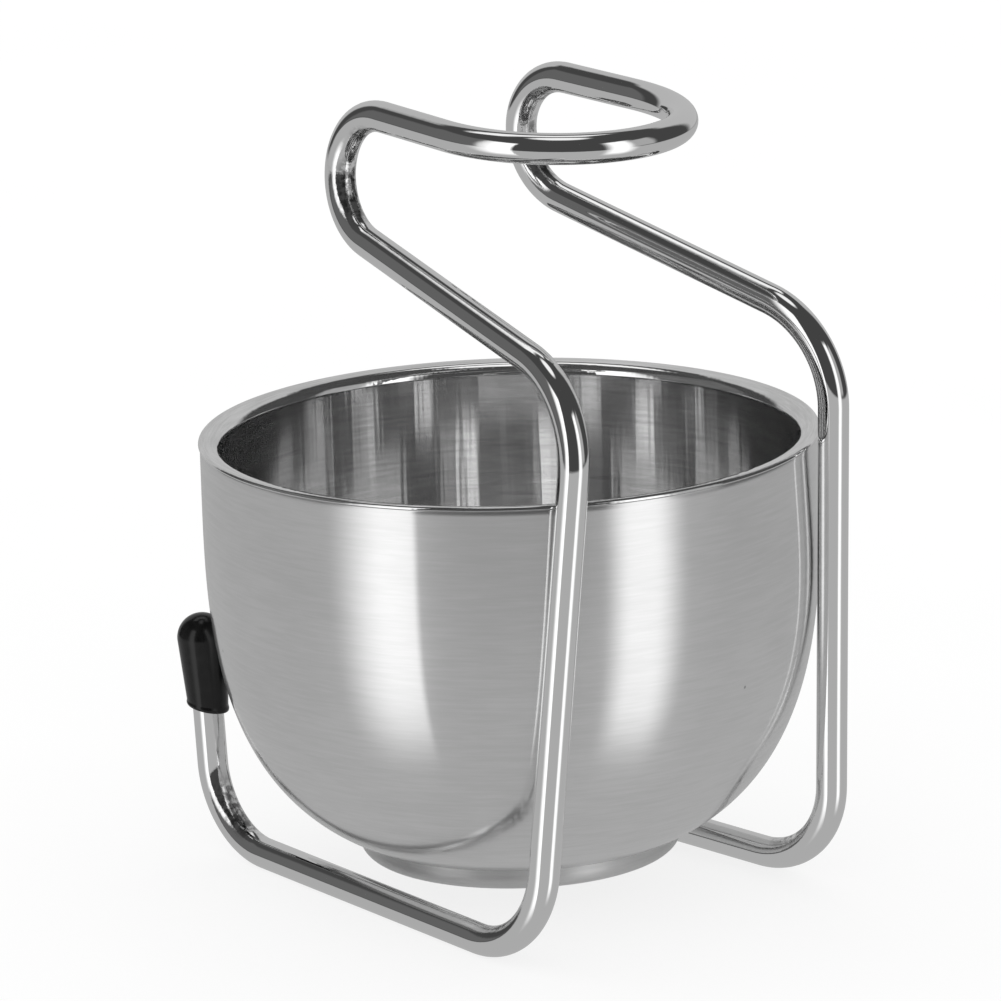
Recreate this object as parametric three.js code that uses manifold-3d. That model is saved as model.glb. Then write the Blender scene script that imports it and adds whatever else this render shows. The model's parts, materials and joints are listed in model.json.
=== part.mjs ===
// Shaving bowl in a bent-wire stand with a brush loop.
//
// Frame: millimetres, +Z up. The origin is on the table, under the middle of the whole object's box.
// The YZ plane is the mirror plane of the stand. -Y is the open front, where the capped rod ends stand
// and the bowl goes in. +Y is the back, where the two tall posts stand.

import * as THREE from 'three';
import { mergeVertices } from 'three/addons/utils/BufferGeometryUtils.js';
import Module from 'manifold-3d';

const wasm = await Module();
wasm.setup();

// ---- driving dimensions ----------------------------------------------------------------------------

// Rod of the stand.
const ROD_DIAMETER = 5;
const ROD_RADIUS = ROD_DIAMETER / 2;
const ROD_SIDES = 12;
const ROD_STEP = 3.6;

// Depth of the narrow flats that the floor runs rest on, and the height of their centreline above them.
const FLOOR_FLAT_DEPTH = 0.12;
const FLOOR_HEIGHT = ROD_RADIUS - FLOOR_FLAT_DEPTH;

// Centreline corners of one half of the stand, from the capped end to the brush loop. The other half is
// its mirror image in the YZ plane. Each corner is rounded with the given bend radius.
const PRONG_TIP = new THREE.Vector3(29, -42.9, 40.2);
const FRONT_CORNER = { at: new THREE.Vector3(27.6, -40.4, FLOOR_HEIGHT), bend: 13.4 };
const BACK_CORNER = { at: new THREE.Vector3(32.8, 41.3, FLOOR_HEIGHT), bend: 15.3 };
const POST_TOP = { at: new THREE.Vector3(27.9, 45.3, 94.8), bend: 16 };
const ARM_FRONT = { at: new THREE.Vector3(19.5, -25.2, 110.7), bend: 10.5 };
const LOOP_FRONT = { at: new THREE.Vector3(19.7, -13.4, 128), bend: 9.9 };
const LOOP_START = new THREE.Vector3(20.6, 7.2, 127.7);
const LOOP_DEPTH = 23.9;

// Push-on rubber cap.
const CAP_LENGTH = 16;
const CAP_DOME_RADIUS = 4.1;
const CAP_MOUTH_RADIUS = 3.35;
const CAP_SOCKET_DEPTH = 12;
const CAP_CLEARANCE = 0.3;

// Bowl, in its own frame: the foot stands on z = 0 and the axis is +Z.
const BOWL_RADIUS = 50;
const BOWL_HEIGHT = 70;
const SHEET = 0.7;
// Half the narrow groove under the rim, and the gap over the foot cup.
const SEAM_GAP = 0.25;
// The outer wall is a quarter of a superellipse: upright at the top, full at the belly.
const BELLY_RADIUS = 49.75;
const BELLY_HEIGHT = 61.2;
const BELLY_EXPONENT = 2.9;
// The foot is a ring with a widely rounded bottom edge. The outer wall ends on it, at FOOT_HEIGHT.
const FOOT_RADIUS = 26.2;
const FOOT_ROUND = 2.8;
const FOOT_HEIGHT = 4.1;
const FOOT_RIM_WIDTH = 1.4;
const FOOT_RECESS = 1.4;
// The lip slopes down and in from the rim, and a narrow hem wraps over the edge of the outer wall.
const LIP_WIDTH = 3.2;
const LIP_DROP = 2.3;
const HEM_HEIGHT = 1.1;
const HEM_ROUND = 0.5;
// Height of the inner wall's underside above the top of the foot.
const INNER_FLOOR_CLEARANCE = 2;
const BOWL_SEGMENTS = 56;
const BELLY_STEPS = 10;

// Where the bowl sits in the stand: gripped between caps and posts, a little off the table and leaning.
const BOWL_LIFT = 4.7;
const BOWL_SHIFT = 2.7;
const BOWL_LEAN = THREE.MathUtils.degToRad(2.4);

// ---- materials -------------------------------------------------------------------------------------

function chrome() {
  return new THREE.MeshStandardMaterial({ color: 0xc9cbce, roughness: 0.12, metalness: 1 });
}

function brushedSteel() {
  return new THREE.MeshStandardMaterial({ color: 0xb4b4b2, roughness: 0.32, metalness: 1 });
}

function blackRubber() {
  return new THREE.MeshStandardMaterial({ color: 0x141414, roughness: 0.45, metalness: 0 });
}

// ---- solid helpers ---------------------------------------------------------------------------------

// A closed geometry with only positions left, its shared corners merged into one vertex each.
function welded(geometry) {
  const bare = geometry.clone();
  bare.deleteAttribute('normal');
  bare.deleteAttribute('uv');
  return mergeVertices(bare);
}

function toSolid(geometry) {
  const merged = welded(geometry);
  const mesh = new wasm.Mesh({
    numProp: 3,
    vertProperties: new Float32Array(merged.attributes.position.array),
    triVerts: new Uint32Array(merged.index.array),
  });
  return new wasm.Manifold(mesh);
}

function toGeometry(solid) {
  const { vertProperties, triVerts } = solid.getMesh();
  const geometry = new THREE.BufferGeometry();
  geometry.setAttribute('position', new THREE.BufferAttribute(vertProperties, 3));
  geometry.setIndex(new THREE.BufferAttribute(triVerts, 1));
  geometry.computeVertexNormals();
  return geometry;
}

function piece(name, geometry, material) {
  const mesh = new THREE.Mesh(geometry, material);
  mesh.name = name;
  return mesh;
}

// A profile of [radius, height] points turned about the Z axis.
function turned(profile, segments) {
  const points = profile.map(([radius, height]) => new THREE.Vector2(radius, height));
  return new THREE.LatheGeometry(points, segments).rotateX(Math.PI / 2);
}

// ---- stand -----------------------------------------------------------------------------------------

function mirrored(point) {
  return new THREE.Vector3(-point.x, point.y, point.z);
}

// A circular arc that rounds the corner between two straight runs.
class Bend extends THREE.Curve {
  constructor(before, corner, after, radius) {
    super();
    const toBefore = before.clone().sub(corner).normalize();
    const toAfter = after.clone().sub(corner).normalize();
    const halfAngle = toBefore.angleTo(toAfter) / 2;
    const setback = radius / Math.tan(halfAngle);
    this.start = corner.clone().addScaledVector(toBefore, setback);
    this.end = corner.clone().addScaledVector(toAfter, setback);
    const inward = toBefore.add(toAfter).normalize();
    this.centre = corner.clone().addScaledVector(inward, radius / Math.sin(halfAngle));
    this.turn = Math.PI - 2 * halfAngle;
  }

  getPoint(t, target = new THREE.Vector3()) {
    const fromStart = this.start.clone().sub(this.centre);
    const fromEnd = this.end.clone().sub(this.centre);
    const startShare = Math.sin((1 - t) * this.turn) / Math.sin(this.turn);
    const endShare = Math.sin(t * this.turn) / Math.sin(this.turn);
    target.copy(this.centre);
    target.addScaledVector(fromStart, startShare);
    return target.addScaledVector(fromEnd, endShare);
  }
}

// Straight runs joined by bends, from the first stop to the last.
function bentRun(stops) {
  const curves = [];
  let from = stops[0].at;
  for (let i = 1; i < stops.length - 1; i += 1) {
    const bend = new Bend(stops[i - 1].at, stops[i].at, stops[i + 1].at, stops[i].bend);
    curves.push(new THREE.LineCurve3(from, bend.start), bend);
    from = bend.end;
  }
  curves.push(new THREE.LineCurve3(from, stops.at(-1).at));
  return curves;
}

// The round back of the brush loop, as two quarter ovals that meet on the mirror plane.
function loopBack() {
  const quarterHandle = 0.5523;
  const along = LOOP_START.clone().sub(LOOP_FRONT.at).normalize();
  const apex = new THREE.Vector3(0, LOOP_START.y + LOOP_DEPTH, LOOP_START.z);
  const startHandle = LOOP_START.clone().addScaledVector(along, quarterHandle * LOOP_DEPTH);
  const apexHandle = apex.clone().setX(quarterHandle * LOOP_START.x);
  return [
    new THREE.CubicBezierCurve3(LOOP_START, startHandle, apexHandle, apex),
    new THREE.CubicBezierCurve3(apex, mirrored(apexHandle), mirrored(startHandle), mirrored(LOOP_START)),
  ];
}

function prongDirection() {
  return PRONG_TIP.clone().sub(FRONT_CORNER.at).normalize();
}

function capMouth() {
  return PRONG_TIP.clone().addScaledVector(prongDirection(), -CAP_LENGTH);
}

// The whole centreline: right prong, floor run, post, arm, loop, then the same mirrored.
function rodPath() {
  const rodEnd = capMouth().addScaledVector(prongDirection(), CAP_SOCKET_DEPTH - CAP_CLEARANCE);
  const corners = [FRONT_CORNER, BACK_CORNER, POST_TOP, ARM_FRONT, LOOP_FRONT];
  const rightStops = [{ at: rodEnd }, ...corners, { at: LOOP_START }];
  const leftStops = rightStops.map(({ at, bend }) => ({ at: mirrored(at), bend })).reverse();
  const path = new THREE.CurvePath();
  path.curves.push(...bentRun(rightStops), ...loopBack(), ...bentRun(leftStops));
  return path;
}

// One bent rod. The table plane trims a narrow flat under each floor run.
function standRod() {
  const path = rodPath();
  const section = new THREE.Shape().absarc(0, 0, ROD_RADIUS, 0, 2 * Math.PI);
  const rod = new THREE.ExtrudeGeometry(section, {
    extrudePath: path,
    steps: Math.round(path.getLength() / ROD_STEP),
    curveSegments: ROD_SIDES / 2,
    bevelEnabled: false,
  });
  const tableSide = 4 * BOWL_RADIUS;
  const table = new THREE.BoxGeometry(tableSide, tableSide, ROD_DIAMETER);
  table.translate(0, 0, -ROD_RADIUS);
  return piece('stand_rod', toGeometry(toSolid(rod).subtract(toSolid(table))), chrome());
}

// A rubber cap in its own frame: the mouth on z = 0, the dome up.
function capGeometry() {
  const lipHeight = 0.9;
  const lipWidth = 0.18;
  const bore = ROD_RADIUS + CAP_CLEARANCE;
  const domeHeight = CAP_LENGTH - CAP_DOME_RADIUS;
  const profile = [
    [0, CAP_SOCKET_DEPTH],
    [bore, CAP_SOCKET_DEPTH],
    [bore, 0],
    [CAP_MOUTH_RADIUS, 0],
    [CAP_MOUTH_RADIUS + lipWidth, lipHeight / 2],
    [CAP_MOUTH_RADIUS, lipHeight],
  ];
  const domeSteps = 5;
  for (let i = 0; i <= domeSteps; i += 1) {
    const angle = (i / domeSteps) * (Math.PI / 2);
    const radius = i === domeSteps ? 0 : CAP_DOME_RADIUS * Math.cos(angle);
    profile.push([radius, domeHeight + CAP_DOME_RADIUS * Math.sin(angle)]);
  }
  const segments = 16;
  return turned(profile, segments);
}

function endCap(name, side) {
  const cap = piece(name, capGeometry(), blackRubber());
  const place = (point) => (side < 0 ? mirrored(point) : point);
  cap.position.copy(place(capMouth()));
  cap.quaternion.setFromUnitVectors(new THREE.Vector3(0, 0, 1), place(prongDirection()));
  return cap;
}

// ---- bowl ------------------------------------------------------------------------------------------

// The belly line of a wall, from the radius `fromRadius` up to where the wall stands upright.
function bellyLine(radius, depth, fromRadius) {
  const power = 2 / BELLY_EXPONENT;
  const firstAngle = Math.asin((fromRadius / radius) ** (1 / power));
  const line = [];
  for (let i = 0; i <= BELLY_STEPS; i += 1) {
    const angle = firstAngle + (i / BELLY_STEPS) * (Math.PI / 2 - firstAngle);
    const rise = i === BELLY_STEPS ? 0 : depth * Math.cos(angle) ** power;
    line.push([radius * Math.sin(angle) ** power, BELLY_HEIGHT - rise]);
  }
  return line;
}

// The radius at which a belly line passes a given height.
function bellyRadiusAt(radius, depth, height) {
  const share = ((BELLY_HEIGHT - height) / depth) ** BELLY_EXPONENT;
  return radius * (1 - share) ** (1 / BELLY_EXPONENT);
}

// The underside of the rolled rim.
const HEM_BOTTOM = BOWL_HEIGHT - HEM_HEIGHT;

function outerShell() {
  const rimEdge = HEM_BOTTOM - 2 * SEAM_GAP;
  const innerRadius = BELLY_RADIUS - SHEET;
  const innerDepth = BELLY_HEIGHT - SHEET;
  const footOutside = bellyRadiusAt(BELLY_RADIUS, BELLY_HEIGHT, FOOT_HEIGHT);
  const footInside = bellyRadiusAt(innerRadius, innerDepth, FOOT_HEIGHT);
  const profile = [
    ...bellyLine(BELLY_RADIUS, BELLY_HEIGHT, footOutside),
    [BELLY_RADIUS, rimEdge],
    [innerRadius, rimEdge],
    ...bellyLine(innerRadius, innerDepth, footInside).reverse(),
  ];
  profile.push(profile[0]);
  return piece('bowl_outer_shell', turned(profile, BOWL_SEGMENTS), brushedSteel());
}

// The inner wall carries the rim: a sloping lip that ends in a rolled hem over the outer wall's edge.
function innerShell() {
  const wallOutside = BOWL_RADIUS - LIP_WIDTH + SHEET / 2;
  const wallInside = wallOutside - SHEET;
  const depthOutside = BELLY_HEIGHT - FOOT_HEIGHT - INNER_FLOOR_CLEARANCE;
  const depthInside = depthOutside - SHEET;
  const firstRing = wallOutside / BELLY_STEPS;
  const profile = [
    [0, BELLY_HEIGHT - depthOutside],
    ...bellyLine(wallOutside, depthOutside, firstRing),
    [wallOutside, HEM_BOTTOM - LIP_DROP],
    [BELLY_RADIUS - SHEET, HEM_BOTTOM],
    [BOWL_RADIUS - SEAM_GAP, HEM_BOTTOM],
    [BOWL_RADIUS, HEM_BOTTOM + SEAM_GAP],
    [BOWL_RADIUS, BOWL_HEIGHT - HEM_ROUND],
    [BOWL_RADIUS - HEM_ROUND / 2, BOWL_HEIGHT - HEM_ROUND / 4],
    [BOWL_RADIUS - HEM_ROUND, BOWL_HEIGHT],
    [BOWL_RADIUS - LIP_WIDTH, BOWL_HEIGHT - LIP_DROP],
    [wallInside, BOWL_HEIGHT - LIP_DROP - HEM_ROUND],
    ...bellyLine(wallInside, depthInside, firstRing).reverse(),
    [0, BELLY_HEIGHT - depthInside],
  ];
  return piece('bowl_inner_shell', turned(profile, BOWL_SEGMENTS), brushedSteel());
}

// The rounded bottom edge of the foot in section, from its lowest point out to its side.
function footEdge(round) {
  const steps = 4;
  const edge = [];
  for (let i = 0; i <= steps; i += 1) {
    const angle = (i / steps) * (Math.PI / 2);
    edge.push([FOOT_RADIUS - FOOT_ROUND + round * Math.sin(angle), FOOT_ROUND - round * Math.cos(angle)]);
  }
  return edge;
}

// A shallow pressed cup that closes the outer wall underneath: a narrow ring to stand on, recessed inside.
function footCup() {
  const top = FOOT_HEIGHT - SEAM_GAP;
  const recessRadius = FOOT_RADIUS - FOOT_ROUND - FOOT_RIM_WIDTH;
  const flare = 0.4;
  const profile = [
    [0, FOOT_RECESS],
    [recessRadius - FOOT_RECESS / 2, FOOT_RECESS],
    [recessRadius, 0],
    ...footEdge(FOOT_ROUND),
    [FOOT_RADIUS + flare, top],
    [FOOT_RADIUS + flare - SHEET, top],
    ...footEdge(FOOT_ROUND - SHEET).reverse(),
    [recessRadius + SHEET / 2, SHEET],
    [recessRadius, FOOT_RECESS + SHEET],
    [0, FOOT_RECESS + SHEET],
  ];
  return piece('bowl_foot_cup', turned(profile, BOWL_SEGMENTS), brushedSteel());
}

// ---- assembly --------------------------------------------------------------------------------------

const stand = new THREE.Group();
stand.add(standRod(), endCap('end_cap_right', 1), endCap('end_cap_left', -1));

const bowl = new THREE.Group();
bowl.add(outerShell(), innerShell(), footCup());
bowl.position.set(0, BOWL_SHIFT, BOWL_LIFT);
bowl.rotation.x = BOWL_LEAN;

const shavingBowlAndStand = new THREE.Group();
shavingBowlAndStand.add(stand, bowl);

export default shavingBowlAndStand;
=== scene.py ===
"""Looks of a double-walled steel shaving bowl in its bent-wire stand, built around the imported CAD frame.

Every CAD node is replaced by a fine surface of the same size: the rod is swept along the same centreline,
and the bowl and the caps are turned from the same profiles, with the small rounds that the CAD leaves out.
The bowl's rim is rolled more finely than in the CAD, and the caps' mouths are cut a little off square.
Lengths are written in millimetres and multiplied by MM where Blender needs metres.
"""

import json
import math

import bpy
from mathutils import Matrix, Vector


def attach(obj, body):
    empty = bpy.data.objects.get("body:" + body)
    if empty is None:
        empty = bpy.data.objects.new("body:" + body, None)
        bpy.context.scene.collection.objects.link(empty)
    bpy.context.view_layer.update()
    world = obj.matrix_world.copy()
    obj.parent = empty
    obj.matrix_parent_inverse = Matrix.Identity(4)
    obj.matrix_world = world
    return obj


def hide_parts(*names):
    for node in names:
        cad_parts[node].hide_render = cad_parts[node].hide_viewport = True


MM = 0.001

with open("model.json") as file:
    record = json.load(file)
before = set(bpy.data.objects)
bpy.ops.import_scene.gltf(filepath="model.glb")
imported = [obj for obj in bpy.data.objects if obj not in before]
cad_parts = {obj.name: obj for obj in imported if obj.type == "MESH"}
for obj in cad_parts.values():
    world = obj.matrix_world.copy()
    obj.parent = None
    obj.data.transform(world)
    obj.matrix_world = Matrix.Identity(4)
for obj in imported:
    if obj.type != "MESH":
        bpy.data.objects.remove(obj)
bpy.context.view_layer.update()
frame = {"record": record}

# ---- driving dimensions, the same as the part's ------------------------------------------------------

ROD_RADIUS = 2.5
FLOOR_FLAT_DEPTH = 0.12
FLOOR_HEIGHT = ROD_RADIUS - FLOOR_FLAT_DEPTH

# Centreline corners of the right half of the stand, each with its bend radius.
PRONG_TIP = Vector((29, -42.9, 40.2))
FRONT_CORNER = (Vector((27.6, -40.4, FLOOR_HEIGHT)), 13.4)
BACK_CORNER = (Vector((32.8, 41.3, FLOOR_HEIGHT)), 15.3)
POST_TOP = (Vector((27.9, 45.3, 94.8)), 16)
ARM_FRONT = (Vector((19.5, -25.2, 110.7)), 10.5)
LOOP_FRONT = (Vector((19.7, -13.4, 128)), 9.9)
LOOP_START = Vector((20.6, 7.2, 127.7))
LOOP_DEPTH = 23.9

CAP_LENGTH = 16
CAP_DOME_RADIUS = 4.1
CAP_MOUTH_RADIUS = 3.35
CAP_SOCKET_DEPTH = 12
CAP_CLEARANCE = 0.3

# The bowl in its own frame: the foot stands on z = 0 and the axis is +Z.
BOWL_RADIUS = 50
BOWL_HEIGHT = 70
SHEET = 0.7
BELLY_RADIUS = 49.75
BELLY_HEIGHT = 61.2
BELLY_EXPONENT = 2.9
FOOT_RADIUS = 26.2
FOOT_ROUND = 2.8
FOOT_HEIGHT = 4.1
FOOT_RIM_WIDTH = 1.4
FOOT_RECESS = 1.4
LIP_WIDTH = 3.2
LIP_DROP = 2.3
INNER_FLOOR_CLEARANCE = 2

# ---- dimensions of what is finer here than in the part -----------------------------------------------

ROD_SIDES = 40
CAP_SEGMENTS = 72
BOWL_SEGMENTS = 256
BELLY_STEPS = 64

# The caps hug the rod more closely than in the part.
CAP_BORE = 2.56

# The cap's mouth drops this far towards the bowl for each millimetre across, fading out at this height.
CAP_SKEW = 0.26
CAP_SKEW_HEIGHT = 6

# The rim: a small bead over the outer wall's edge, a lip that slopes inwards by LIP_SLOPE degrees, and a
# roll of radius LIP_ROLL down into the basin.
HEM_BOTTOM = 69.15
HEM_GAP = 0.1
BEAD_RADIUS = 0.55
BEAD_TOP = 69.8
LIP_SLOPE = 11
LIP_ROLL = 2.0

# Radius at which the curve of the basin's floor begins. A single point on the axis closes it.
FLOOR_CENTRE = 1

# Handle length that makes a cubic curve follow a quarter of a circle or an ellipse.
QUARTER_ROUND = 0.5523

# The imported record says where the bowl's foot stands and which way it faces.
foot_face = next(m for m in frame["record"]["mounts"] if m["name"] == "bowl_foot_face")
BOWL_PLACE = Vector((0, foot_face["pos_m"][1], foot_face["pos_m"][2])) / MM
BOWL_UP = -Vector(foot_face["axis"])


# ---- node trees --------------------------------------------------------------------------------------


class Graph:
    """Short calls for building a node tree. An input may be a number, a colour or another node's output."""

    def __init__(self, tree):
        self.tree = tree
        self.tree.nodes.clear()

    def add(self, kind, settings=None, **inputs):
        node = self.tree.nodes.new("ShaderNode" + kind)
        for name, value in (settings or {}).items():
            setattr(node, name, value)
        for name, value in inputs.items():
            self.feed(node.inputs[name.replace("_", " ")], value)
        return node

    def feed(self, socket, value):
        if isinstance(value, bpy.types.NodeSocket):
            self.tree.links.new(value, socket)
        else:
            socket.default_value = value

    def math(self, operation, *values):
        node = self.tree.nodes.new("ShaderNodeMath")
        node.operation = operation
        for socket, value in zip(node.inputs, values):
            self.feed(socket, value)
        return node.outputs[0]

    def ramp(self, value, low, high, to_low=0.0, to_high=1.0):
        """A smooth step from to_low at low to to_high at high."""
        settings = {"interpolation_type": "SMOOTHSTEP"}
        node = self.add("MapRange", settings, Value=value, From_Min=low, From_Max=high)
        node.inputs["To Min"].default_value = to_low
        node.inputs["To Max"].default_value = to_high
        return node.outputs["Result"]

    def noise(self, vector, scale, detail=2.0, roughness=0.5):
        node = self.add("TexNoise", None, Vector=vector, Scale=scale, Detail=detail, Roughness=roughness)
        return node.outputs["Fac"]

    def vector(self, operation, *values):
        node = self.tree.nodes.new("ShaderNodeVectorMath")
        node.operation = operation
        for socket, value in zip(node.inputs, values):
            self.feed(socket, value)
        return node.outputs["Vector"]

    def blend(self, first, second, share):
        """The second value by its share, and the first by the rest."""
        rest = self.math("MULTIPLY", first, self.math("SUBTRACT", 1.0, share))
        return self.math("ADD", rest, self.math("MULTIPLY", second, share))

    def attribute(self, name, output="Fac"):
        return self.add("Attribute", {"attribute_name": name}).outputs[output]

    def grey(self, level):
        return self.add("CombineColor", None, Red=level, Green=level, Blue=level).outputs["Color"]

    def bump(self, height, distance_mm, normal=None):
        node = self.add("Bump", None, Height=height, Distance=distance_mm * MM)
        if normal is not None:
            self.feed(node.inputs["Normal"], normal)
        return node.outputs["Normal"]


def new_material(name):
    material = bpy.data.materials.new(name)
    material.use_nodes = True
    return material, Graph(material.node_tree)


def finish_material(graph, shader):
    output = graph.add("OutputMaterial")
    graph.feed(output.inputs["Surface"], shader)


# ---- materials ---------------------------------------------------------------------------------------


def chrome_material():
    """Bright chrome plate with faint waves, and a squeezed, pebbled skin with painted shade in its hollows
    on the inside of each bend.
    """
    material, graph = new_material("bright_chrome")
    place = graph.add("TexCoord").outputs["Object"]
    squeezed = graph.attribute("squeezed")

    waves = graph.noise(place, scale=420, detail=1.0)
    ripples = graph.noise(place, scale=1300, detail=2.0, roughness=0.6)
    pebbles = graph.noise(place, scale=800, detail=4.0, roughness=0.6)
    normal = graph.bump(waves, distance_mm=0.008)
    normal = graph.bump(ripples, distance_mm=0.0022, normal=normal)
    normal = graph.bump(graph.math("MULTIPLY", pebbles, squeezed), distance_mm=0.06, normal=normal)

    chrome_tone = 0.88
    # Painted shade: the base colour is darkened in the pebbles' hollows on the inside of each bend.
    painted_hollow_shade = graph.ramp(pebbles, 0.42, 0.6, to_low=0.75, to_high=0.0)
    dark = graph.math("MULTIPLY", painted_hollow_shade, graph.ramp(squeezed, 0.3, 0.9))
    shade = graph.math("MULTIPLY", graph.math("SUBTRACT", 1.0, dark), chrome_tone)
    smudges = graph.noise(place, scale=90, detail=4.0, roughness=0.6)
    shader = graph.add(
        "BsdfPrincipled",
        None,
        Base_Color=graph.grey(shade),
        Metallic=1.0,
        Roughness=graph.ramp(smudges, 0.35, 0.75, to_low=0.02, to_high=0.07),
        Normal=normal,
    )
    finish_material(graph, shader.outputs["BSDF"])
    return material


def brushed_steel_material(
    name, tone, roughness, haze, grain, line_depth, flute_depth=0.0, polished_above=BOWL_HEIGHT
):
    """Steel brushed around the bowl, with upright flutes left by the drawing die, polished above a height.

    haze is the share of light that the finest scratches scatter widely around each reflection, and grain is
    how much the brushing lines differ in brightness. Depths and heights are in millimetres.
    """
    material, graph = new_material(name)
    place = graph.attribute("own_place", "Vector")
    tangent = graph.attribute("around", "Vector")
    around = graph.vector("NORMALIZE", graph.vector("MULTIPLY", place, (1, 1, 0)))
    height = graph.add("SeparateXYZ", None, Vector=place).outputs["Z"]
    along = graph.attribute("along_profile")
    satin_ends = polished_above + 0.6
    satin = graph.ramp(height, polished_above * MM, satin_ends * MM, to_low=1.0, to_high=0.0)

    def rings(per_mm, arcs):
        """Noise drawn out round the bowl: per_mm lines on each millimetre, in arcs that break off."""
        turned = graph.vector("SCALE", around)
        turned.node.inputs["Scale"].default_value = arcs
        rise = graph.add("CombineXYZ", None, Z=graph.math("MULTIPLY", along, per_mm / MM))
        place_on_rings = graph.vector("ADD", turned, rise.outputs["Vector"])
        return graph.noise(place_on_rings, scale=1.0, detail=2.0, roughness=0.6)

    hairlines = rings(per_mm=5.0, arcs=9)
    bands = rings(per_mm=0.5, arcs=3)
    streaks = rings(per_mm=1.7, arcs=5)
    flutes = rings(per_mm=0.012, arcs=17)
    mottling = graph.noise(place, scale=38, detail=3.0, roughness=0.6)

    floor_ends, wall_starts = 12, 40
    on_wall = graph.ramp(height, floor_ends * MM, wall_starts * MM)
    hairline_depth = line_depth / 4
    normal = graph.bump(graph.math("MULTIPLY", flutes, on_wall), flute_depth)
    normal = graph.bump(graph.math("MULTIPLY", hairlines, satin), hairline_depth, normal)
    normal = graph.bump(graph.math("MULTIPLY", streaks, satin), line_depth, normal)

    lines = graph.blend(bands, hairlines, 0.55)
    polish = graph.ramp(satin, 0.0, 1.0, to_low=0.45, to_high=1.0)
    scratched = graph.ramp(lines, 0.25, 0.75, to_low=roughness * 0.9, to_high=roughness * 1.1)
    rough = graph.math("MULTIPLY", scratched, polish)
    shade = graph.blend(mottling, graph.blend(streaks, lines, 0.5), 0.7)
    darkest = tone * (1 - grain)
    brightest = min(1.0, tone * (1 + grain))
    bright = graph.ramp(shade, 0.36, 0.64, darkest, brightest)

    cells = graph.add("TexVoronoi", {"feature": "F1"}, Vector=place, Scale=130.0).outputs["Distance"]
    specks = graph.ramp(cells, 0.015, 0.05, to_low=0.5, to_high=0.0)
    scarce = graph.ramp(graph.noise(place, scale=170, detail=1.0), 0.58, 0.66)
    speck = graph.math("MULTIPLY", specks, scarce)
    colour = graph.grey(graph.math("MULTIPLY", bright, graph.math("SUBTRACT", 1.0, speck)))

    def lobe(lobe_roughness, stretch):
        """Reflections drawn out across the brushing, with a trace of plain scattered light."""
        shader = graph.add(
            "BsdfPrincipled",
            None,
            Base_Color=colour,
            Metallic=0.988,
            Roughness=lobe_roughness,
            Anisotropic=stretch,
            Anisotropic_Rotation=0.25,
            Tangent=tangent,
            Normal=normal,
        )
        return shader.outputs["BSDF"]

    wide = graph.math("ADD", graph.math("MULTIPLY", satin, 0.22), rough)
    mix = graph.add("MixShader", None, Fac=graph.math("MULTIPLY", satin, haze))
    graph.feed(mix.inputs[1], lobe(rough, stretch=0.85))
    graph.feed(mix.inputs[2], lobe(wide, stretch=0.5))
    finish_material(graph, mix.outputs["Shader"])
    return material


def rubber_material():
    """Soft-gloss black rubber with a fine moulded skin."""
    material, graph = new_material("black_rubber")
    place = graph.attribute("own_place", "Vector")
    skin = graph.noise(place, scale=3500, detail=2.0)
    swells = graph.noise(place, scale=300, detail=2.0)
    normal = graph.bump(swells, distance_mm=0.012)
    normal = graph.bump(skin, distance_mm=0.003, normal=normal)
    wear = graph.noise(place, scale=700, detail=4.0, roughness=0.65)
    shader = graph.add(
        "BsdfPrincipled",
        None,
        Base_Color=graph.grey(graph.ramp(wear, 0.3, 0.75, to_low=0.004, to_high=0.008)),
        Roughness=graph.ramp(wear, 0.3, 0.7, to_low=0.15, to_high=0.22),
        IOR=1.42,
        Normal=normal,
    )
    finish_material(graph, shader.outputs["BSDF"])
    return material


# ---- mesh helpers ------------------------------------------------------------------------------------


def new_piece(name, points, faces, material):
    """A smooth mesh object from points in millimetres."""
    mesh = bpy.data.meshes.new(name)
    mesh.from_pydata([tuple(Vector(p) * MM) for p in points], [], faces)
    mesh.validate()
    mesh.update()
    mesh.shade_smooth()
    mesh.materials.append(material)
    piece = bpy.data.objects.new(name, mesh)
    bpy.context.scene.collection.objects.link(piece)
    return piece


def set_values(piece, name, values):
    attribute = piece.data.attributes.new(name, "FLOAT", "POINT")
    attribute.data.foreach_set("value", values)


def set_vectors(piece, name, vectors):
    attribute = piece.data.attributes.new(name, "FLOAT_VECTOR", "POINT")
    attribute.data.foreach_set("vector", [part for vector in vectors for part in vector])


def arc(centre, radius, start, end, steps):
    """Points (radius, height) on an arc round centre, from the start angle to the end angle in degrees."""
    points = []
    for k in range(steps + 1):
        angle = math.radians(start + (end - start) * k / steps)
        points.append((centre[0] + radius * math.cos(angle), centre[1] + radius * math.sin(angle)))
    return points


def turning_angle(before, corner, after):
    return math.pi - (before - corner).angle(after - corner)


def corner_arc(before, corner, after, radius, steps):
    """Centre of the arc that rounds a corner, and the spokes from it to steps + 1 points of the arc."""
    to_before = (before - corner).normalized()
    to_after = (after - corner).normalized()
    turn = turning_angle(before, corner, after)
    half = (math.pi - turn) / 2
    reach = radius / math.tan(half)
    centre = corner + (to_before + to_after).normalized() * (radius / math.sin(half))
    start = corner + to_before * reach - centre
    end = corner + to_after * reach - centre
    spokes = []
    for k in range(steps + 1):
        share = k / steps
        spoke = start * math.sin((1 - share) * turn) + end * math.sin(share * turn)
        spokes.append(spoke / math.sin(turn))
    return centre, spokes


def rounded(corners, steps=5):
    """Outline points (radius, height) through corners (radius, height, round), each cut by its arc."""
    outline = []
    for i, (r, z, radius) in enumerate(corners):
        if radius == 0:
            outline.append((r, z))
            continue
        before, here, after = (Vector(corner[:2]) for corner in corners[i - 1 : i + 2])
        centre, spokes = corner_arc(before, here, after, radius, steps)
        outline += [tuple(centre + spoke) for spoke in spokes]
    return outline


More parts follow.
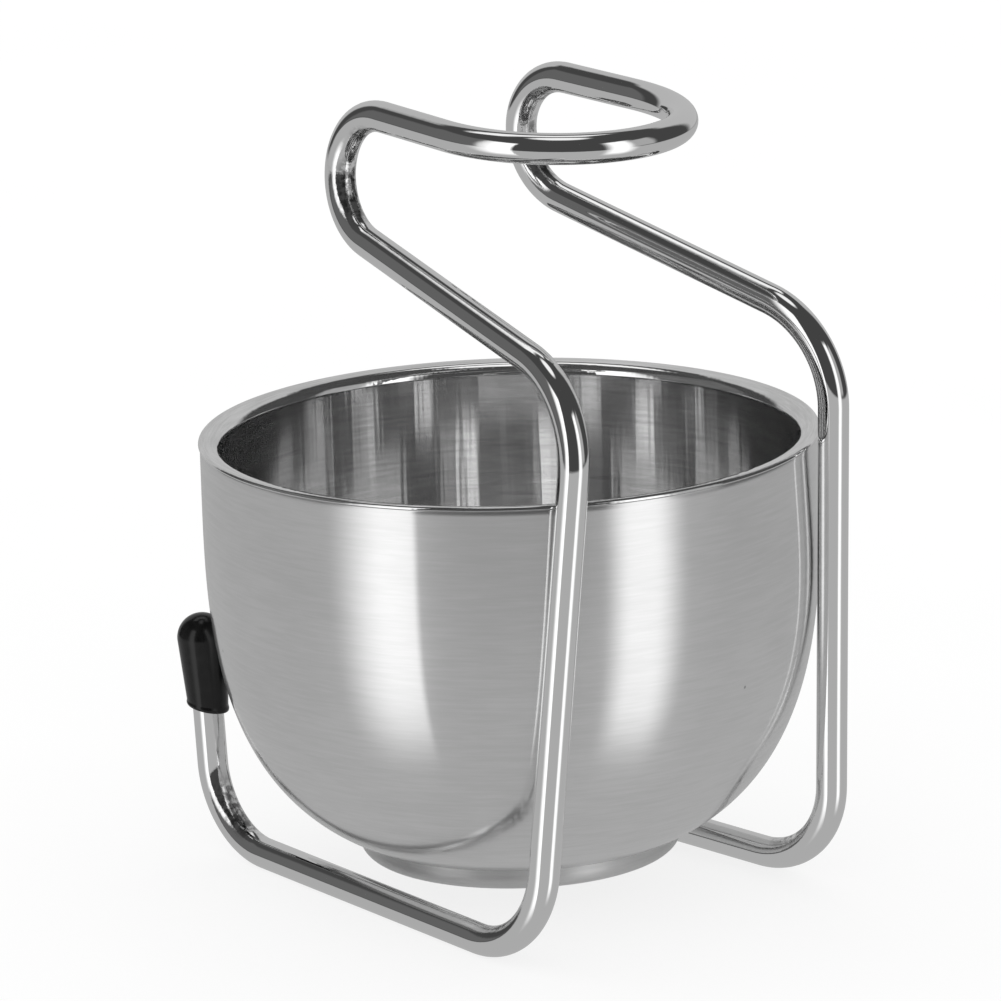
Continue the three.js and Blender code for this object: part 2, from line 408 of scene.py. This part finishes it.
def turned_piece(name, outline, segments, material, origin, axis):
    """Turns an outline of (radius, height) points about an axis that starts at origin.

    The outline starts and ends on the axis, or it closes on itself. For the materials, each point keeps its
    place in the piece's own frame, its way round the axis and its distance along the outline.
    """
    turn = Vector((0, 0, 1)).rotation_difference(axis)
    places, faces, ways, along, rows = [], [], [], [], []
    travelled = 0.0
    for i, (radius, height) in enumerate(outline):
        if i:
            travelled += math.dist(outline[i - 1], outline[i])
        first = len(places)
        spokes = segments if radius > 0 else 1
        for k in range(spokes):
            angle = 2 * math.pi * k / segments
            places.append(Vector((radius * math.cos(angle), radius * math.sin(angle), height)))
            ways.append(turn @ Vector((-math.sin(angle), math.cos(angle), 0)))
            along.append(travelled * MM)
        rows.append([first + k % spokes for k in range(segments)])
    if outline[0][0] > 0:
        rows.append(rows[0])
    for lower, upper in zip(rows, rows[1:]):
        for k in range(segments):
            m = (k + 1) % segments
            corners = dict.fromkeys([lower[k], lower[m], upper[m], upper[k]])
            if len(corners) > 2:
                faces.append(list(corners))
    piece = new_piece(name, [turn @ place + origin for place in places], faces, material)
    set_vectors(piece, "own_place", [place * MM for place in places])
    set_vectors(piece, "around", ways)
    set_values(piece, "along_profile", along)
    return piece


# ---- stand -------------------------------------------------------------------------------------------


def mirrored(point):
    return Vector((-point.x, point.y, point.z))


def bend_points(before, corner, after, radius, step=0.7):
    """Points on a bend, each with the way to the bend's centre, which shortens towards the bend's ends."""
    count = math.ceil(radius * turning_angle(before, corner, after) / step)
    centre, spokes = corner_arc(before, corner, after, radius, count)
    bend = []
    for k, spoke in enumerate(spokes):
        strength = math.sin(math.pi * k / count) ** 0.7
        bend.append((centre + spoke, -spoke.normalized() * strength))
    return bend


def straight_points(start, end, step=2.0):
    """Points between start and end, neither of them included, with no way to a bend's centre."""
    count = max(1, round((end - start).length / step))
    return [(start.lerp(end, k / count), Vector()) for k in range(1, count)]


def bezier_points(start, first_handle, second_handle, end, count=44):
    curve = []
    for k in range(count + 1):
        t = k / count
        s = 1 - t
        point = start * s**3 + first_handle * (3 * s * s * t) + second_handle * (3 * s * t * t) + end * t**3
        curve.append((point, Vector()))
    return curve


def prong_direction():
    return (PRONG_TIP - FRONT_CORNER[0]).normalized()


def cap_mouth():
    return PRONG_TIP - prong_direction() * CAP_LENGTH


def right_half():
    """Centreline from the capped end to the middle of the loop, each point with its bend centre's way."""
    rod_end = cap_mouth() + prong_direction() * (CAP_SOCKET_DEPTH - CAP_CLEARANCE)
    corners = [FRONT_CORNER, BACK_CORNER, POST_TOP, ARM_FRONT, LOOP_FRONT]
    stops = [rod_end] + [corner for corner, radius in corners] + [LOOP_START]
    line = [(rod_end, Vector())]
    for i, (corner, radius) in enumerate(corners):
        bend = bend_points(stops[i], corner, stops[i + 2], radius)
        line += straight_points(line[-1][0], bend[0][0])
        line += bend
    line += straight_points(line[-1][0], LOOP_START)
    along = (LOOP_START - LOOP_FRONT[0]).normalized()
    apex = Vector((0, LOOP_START.y + LOOP_DEPTH, LOOP_START.z))
    start_handle = LOOP_START + along * (QUARTER_ROUND * LOOP_DEPTH)
    apex_handle = Vector((QUARTER_ROUND * LOOP_START.x, apex.y, apex.z))
    line += bezier_points(LOOP_START, start_handle, apex_handle, apex)
    return line


def rod_line():
    half = right_half()
    other = [(mirrored(point), mirrored(inward)) for point, inward in reversed(half[:-1])]
    return half + other


def rod_piece(material):
    """The rod swept along its centreline, cut flat where it rests on the table."""
    line = rod_line()
    points, faces, squeezed = [], [], []
    side = Vector((1, 0, 0))
    last = len(line) - 1
    for i, (centre, inward) in enumerate(line):
        ahead = (line[min(i + 1, last)][0] - line[max(i - 1, 0)][0]).normalized()
        side = (side - ahead * side.dot(ahead)).normalized()
        up = ahead.cross(side)
        for k in range(ROD_SIDES):
            angle = 2 * math.pi * k / ROD_SIDES
            out = side * math.cos(angle) + up * math.sin(angle)
            point = centre + out * ROD_RADIUS
            point.z = max(point.z, 0)
            points.append(point)
            squeezed.append(max(0.0, out.dot(inward)))
    for i in range(last):
        for k in range(ROD_SIDES):
            m = (k + 1) % ROD_SIDES
            here, there = i * ROD_SIDES, (i + 1) * ROD_SIDES
            faces.append([here + k, here + m, there + m, there + k])
    faces.append(list(range(ROD_SIDES))[::-1])
    faces.append([last * ROD_SIDES + k for k in range(ROD_SIDES)])
    piece = new_piece("wire_stand", points, faces, material)
    set_values(piece, "squeezed", squeezed)
    return piece


def cap_outline():
    """Profile of a rubber cap: mouth on z = 0, a small moulded lip, a slightly swelling body and a dome."""
    lip_height = 0.9
    lip_width = 0.1
    dome_from = CAP_LENGTH - CAP_DOME_RADIUS
    body = rounded(
        [
            (0, CAP_SOCKET_DEPTH, 0),
            (CAP_BORE, CAP_SOCKET_DEPTH, 0.4),
            (CAP_BORE, 0, 0.3),
            (CAP_MOUTH_RADIUS, 0, 0.25),
            (CAP_MOUTH_RADIUS + lip_width, lip_height / 2, 0.3),
            (CAP_MOUTH_RADIUS, lip_height, 0.2),
            (CAP_DOME_RADIUS, dome_from, 0),
        ]
    )
    dome = arc((0, dome_from), CAP_DOME_RADIUS, 0, 90, 20)
    return body + dome[1:-1] + [(0, CAP_LENGTH)]


def cap_piece(name, side, material):
    """A cap on its prong, cut a little off square, so that its mouth reaches lower on the bowl's side."""
    place = mirrored if side < 0 else Vector
    mouth = place(cap_mouth())
    upward = place(prong_direction())
    cap = turned_piece(name, cap_outline(), CAP_SEGMENTS, material, mouth, upward)
    to_bowl = Vector((-mouth.x, -mouth.y, 0)).normalized()
    for vertex in cap.data.vertices:
        offset = vertex.co / MM - mouth
        share = max(0.0, 1 - offset.dot(upward) / CAP_SKEW_HEIGHT)
        vertex.co -= upward * (offset.dot(to_bowl) * share * CAP_SKEW * MM)
    return cap


# ---- bowl --------------------------------------------------------------------------------------------


def belly_line(radius, depth, from_radius):
    """A wall from from_radius up to where it stands upright: a quarter of a superellipse."""
    power = 2 / BELLY_EXPONENT
    first = math.asin((from_radius / radius) ** (1 / power))
    line = []
    for i in range(BELLY_STEPS + 1):
        angle = first + (math.pi / 2 - first) * i / BELLY_STEPS
        rise = 0 if i == BELLY_STEPS else depth * math.cos(angle) ** power
        line.append((radius * math.sin(angle) ** power, BELLY_HEIGHT - rise))
    return line


def belly_radius_at(radius, depth, height):
    share = ((BELLY_HEIGHT - height) / depth) ** BELLY_EXPONENT
    return radius * (1 - share) ** (1 / BELLY_EXPONENT)


def bowl_piece(name, outline, material):
    return turned_piece(name, outline, BOWL_SEGMENTS, material, BOWL_PLACE, BOWL_UP)


def outer_wall(material):
    """The outer wall, open below where the foot cup closes it, with its top edge tucked under the hem."""
    top = HEM_BOTTOM - HEM_GAP
    edge_round = 0.15
    inner_radius = BELLY_RADIUS - SHEET
    inner_depth = BELLY_HEIGHT - SHEET
    outer_start = belly_radius_at(BELLY_RADIUS, BELLY_HEIGHT, FOOT_HEIGHT)
    inner_start = belly_radius_at(inner_radius, inner_depth, FOOT_HEIGHT)
    outside = belly_line(BELLY_RADIUS, BELLY_HEIGHT, outer_start)
    inside = belly_line(inner_radius, inner_depth, inner_start)
    rows = 8
    upright = [(BELLY_RADIUS, BELLY_HEIGHT + (top - BELLY_HEIGHT) * k / rows) for k in range(1, rows)]
    edge = arc((BELLY_RADIUS - edge_round, top - edge_round), edge_round, 0, 90, 4) + [(inner_radius, top)]
    return bowl_piece("outer_wall", outside + upright + edge + inside[::-1], material)


def inner_wall(material):
    """The inner wall with its rim: a sloping lip that ends in a rolled hem over the outer wall's edge."""
    wall_outside = BOWL_RADIUS - LIP_WIDTH + SHEET / 2
    wall_inside = wall_outside - SHEET
    depth_outside = BELLY_HEIGHT - FOOT_HEIGHT - INNER_FLOOR_CLEARANCE
    depth_inside = depth_outside - SHEET
    underside = [(0, BELLY_HEIGHT - depth_outside)] + belly_line(wall_outside, depth_outside, FLOOR_CENTRE)
    basin = [(0, BELLY_HEIGHT - depth_inside)] + belly_line(wall_inside, depth_inside, FLOOR_CENTRE)
    bead_centre = (BOWL_RADIUS - BEAD_RADIUS, BEAD_TOP - BEAD_RADIUS)
    hem = rounded(
        [
            (wall_outside, HEM_BOTTOM - LIP_DROP, 0),
            (BELLY_RADIUS - SHEET, HEM_BOTTOM, 0.1),
            (BOWL_RADIUS, HEM_BOTTOM, 0.08),
            (BOWL_RADIUS, bead_centre[1], 0),
        ]
    )[:-1]
    bead = arc(bead_centre, BEAD_RADIUS, 0, 90 + LIP_SLOPE, 12)
    slope = math.radians(LIP_SLOPE)
    roll_radius = wall_inside + LIP_ROLL
    roll_drop = (bead[-1][0] - roll_radius + LIP_ROLL * math.sin(slope)) * math.tan(slope)
    roll_centre = (roll_radius, bead[-1][1] - roll_drop - LIP_ROLL * math.cos(slope))
    lip = arc(roll_centre, LIP_ROLL, 90 + LIP_SLOPE, 180, 16) + [(wall_inside, BELLY_HEIGHT + 1)]
    return bowl_piece("inner_wall_with_rim", underside + hem + bead + lip + basin[::-1], material)


def foot_cup(material):
    """A pressed cup that closes the bowl underneath: a ring with a wide round edge, recessed inside."""
    gap_to_wall = 0.1
    top = FOOT_HEIGHT - gap_to_wall
    flare = 0.4
    edge_centre = (FOOT_RADIUS - FOOT_ROUND, FOOT_ROUND)
    recess_radius = FOOT_RADIUS - FOOT_ROUND - FOOT_RIM_WIDTH
    underside = rounded(
        [
            (0, FOOT_RECESS, 0),
            (recess_radius - FOOT_RECESS / 2, FOOT_RECESS, 0.5),
            (recess_radius, 0, 0.4),
            (edge_centre[0], 0, 0),
        ]
    )[:-1]
    upper_edge = rounded(
        [
            (FOOT_RADIUS, FOOT_ROUND, 0),
            (FOOT_RADIUS + flare, top, 0.15),
            (FOOT_RADIUS + flare - SHEET, top, 0.15),
            (FOOT_RADIUS - SHEET, FOOT_ROUND, 0),
        ]
    )[1:-1]
    ceiling = rounded(
        [
            (edge_centre[0], SHEET, 0),
            (recess_radius + SHEET / 2, SHEET, 0.3),
            (recess_radius - FOOT_RECESS / 2, FOOT_RECESS + SHEET, 0.3),
            (0, FOOT_RECESS + SHEET, 0),
        ]
    )[1:]
    outer_edge = arc(edge_centre, FOOT_ROUND, -90, 0, 14)
    inner_edge = arc(edge_centre, FOOT_ROUND - SHEET, 0, -90, 14)
    return bowl_piece("foot_cup", underside + outer_edge + upper_edge + inner_edge + ceiling, material)


# ---- assembly ----------------------------------------------------------------------------------------


def carry(piece, body, node):
    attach(piece, body)
    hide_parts(node)


def build_stand():
    rubber = rubber_material()
    carry(rod_piece(chrome_material()), "stand", "stand_rod")
    carry(cap_piece("rubber_cap_right", 1, rubber), "stand", "end_cap_right")
    carry(cap_piece("rubber_cap_left", -1, rubber), "stand", "end_cap_left")


def build_bowl():
    satin = brushed_steel_material(
        "satin_steel", tone=0.80, roughness=0.11, haze=0.3, grain=0.05, line_depth=0.0004
    )
    basin = brushed_steel_material(
        "basin_steel",
        tone=0.90,
        roughness=0.08,
        haze=0.12,
        grain=0.14,
        line_depth=0.003,
        flute_depth=0.05,
        polished_above=HEM_BOTTOM - LIP_DROP + 0.4,
    )
    matt = brushed_steel_material(
        "matt_steel", tone=0.72, roughness=0.34, haze=0.6, grain=0.05, line_depth=0.0004
    )
    pieces = [
        (outer_wall(satin), "bowl_outer_shell"),
        (inner_wall(basin), "bowl_inner_shell"),
        (foot_cup(matt), "bowl_foot_cup"),
    ]
    for piece, node in pieces:
        carry(piece, "bowl", node)


# ---- studio ------------------------------------------------------------------------------------------

CAMERA_AZIMUTH = math.radians(136.8)
CAMERA_ELEVATION = math.radians(16.16)
CAMERA_DISTANCE = 1.3253
CAMERA_TARGET = Vector((0.00153, -0.00054, 0.0628))
CAMERA_LENS = 295.9
CAMERA_SENSOR = 36


def camera_back():
    """The way from the object to the camera."""
    flat = math.cos(CAMERA_ELEVATION)
    return Vector(
        (math.sin(CAMERA_AZIMUTH) * flat, -math.cos(CAMERA_AZIMUTH) * flat, math.sin(CAMERA_ELEVATION))
    )


def build_camera():
    data = bpy.data.cameras.new("camera")
    data.lens = CAMERA_LENS
    data.sensor_width = CAMERA_SENSOR
    camera = bpy.data.objects.new("camera", data)
    bpy.context.scene.collection.objects.link(camera)
    camera.location = CAMERA_TARGET + camera_back() * CAMERA_DISTANCE
    camera.rotation_mode = "QUATERNION"
    camera.rotation_quaternion = (-camera_back()).to_track_quat("-Z", "Y")
    bpy.context.scene.camera = camera


# What the metal mirrors, as seen from the object, in degrees. Azimuth 0 is towards the camera, and positive
# azimuths are to the camera's right. soft holds the widths of a card's soft left, right and lower edges.
STUDIO_CARDS = {
    "left softbox": dict(azimuths=(-60, -35), elevations=(-38, 40), brightness=1.25, soft=(26, 3, 24)),
    "right softbox": dict(azimuths=(39, 62), elevations=(-38, 40), brightness=1.2, soft=(12, 16, 24)),
    "right wall": dict(azimuths=(62, 84), elevations=(-6, 34), brightness=0.42, soft=(8, 8, 6)),
    "left wall": dict(azimuths=(-110, -62), elevations=(-6, 40), brightness=0.13, soft=(8, 8, 6)),
    "back wall": dict(azimuths=(135, 225), elevations=(-8, 44), brightness=0.5, soft=(12, 12, 6)),
    "back lamp": dict(azimuths=(-200, -120), elevations=(56, 70), brightness=1.0, soft=(8, 8, 6)),
    "ceiling": dict(azimuths=(-200, 200), elevations=(79, 95), brightness=1.0, soft=(6, 6, 6)),
}
SOFT_TOP = 6
TABLE_GREY = 0.45
ROOM_GREY = 0.06
TABLE_EDGE = (-10, -7)
EVEN_LIGHT = 1.06
FLOOR_GLOW = 0.80
FLOOR_REACH = 4000


def studio_world():
    """White to the camera, even light for matt surfaces, and a dark studio with light cards in mirrors."""
    world = bpy.data.worlds.new("studio")
    world.use_nodes = True
    graph = Graph(world.node_tree)
    direction = graph.add("TexCoord").outputs["Generated"]
    parts = graph.add("SeparateXYZ", None, Vector=direction)
    x, y, z = (parts.outputs[axis] for axis in "XYZ")
    turn = graph.math("ARCTAN2", x, graph.math("MULTIPLY", y, -1.0))
    azimuth = graph.math("DEGREES", graph.math("SUBTRACT", turn, CAMERA_AZIMUTH))
    azimuth = graph.math("WRAP", azimuth, 180.0, -180.0)
    elevation = graph.math("DEGREES", graph.math("ARCSINE", z))

    def window(value, low, high, soft_low, soft_high):
        rise = graph.ramp(value, low - soft_low / 2, low + soft_low / 2)
        fall = graph.ramp(value, high - soft_high / 2, high + soft_high / 2, to_low=1.0, to_high=0.0)
        return graph.math("MULTIPLY", rise, fall)

    def card_mask(azimuths, elevations, soft):
        soft_left, soft_right, soft_below = soft
        half_width = (azimuths[1] - azimuths[0]) / 2
        centre = azimuths[0] + half_width
        off_centre = graph.math("WRAP", graph.math("SUBTRACT", azimuth, centre), 180.0, -180.0)
        across = window(off_centre, -half_width, half_width, soft_left, soft_right)
        return graph.math("MULTIPLY", across, window(elevation, *elevations, soft_below, SOFT_TOP))

    mirrored_level = graph.ramp(elevation, *TABLE_EDGE, TABLE_GREY, ROOM_GREY)
    for card in STUDIO_CARDS.values():
        mask = card_mask(card["azimuths"], card["elevations"], card["soft"])
        mirrored_level = graph.blend(mirrored_level, card["brightness"], mask)
    in_mirror = graph.add("LightPath").outputs["Is Glossy Ray"]
    strength = graph.blend(EVEN_LIGHT, mirrored_level, in_mirror)
    background = graph.add("Background", None, Color=(1, 1, 1, 1), Strength=strength)
    output = graph.add("OutputWorld")
    graph.feed(output.inputs["Surface"], background.outputs["Background"])
    world.cycles.sampling_method = "NONE"
    bpy.context.scene.world = world


def build_floor():
    """A pale floor, partly bright by itself, like a lit white sweep, so that shadows on it stay faint."""
    material, graph = new_material("pale_floor")
    place = graph.add("TexCoord").outputs["Object"]
    grain = graph.noise(place, scale=9, detail=3.0)
    pale = graph.grey(graph.ramp(grain, 0.3, 0.7, to_low=0.19, to_high=0.20))
    matt = graph.add("BsdfDiffuse", None, Color=pale)
    glow = graph.add("Emission", None, Strength=FLOOR_GLOW)
    both = graph.add("AddShader")
    graph.feed(both.inputs[0], matt.outputs["BSDF"])
    graph.feed(both.inputs[1], glow.outputs["Emission"])
    finish_material(graph, both.outputs["Shader"])
    reach = FLOOR_REACH
    corners = [(-reach, -reach, 0), (reach, -reach, 0), (reach, reach, 0), (-reach, reach, 0)]
    floor = new_piece("studio_floor", corners, [[0, 1, 2, 3]], material)
    floor.visible_glossy = False


def build_studio():
    studio_world()
    build_floor()
    build_camera()
    bpy.context.scene.view_settings.view_transform = "Standard"


build_stand()
build_bowl()
build_studio()
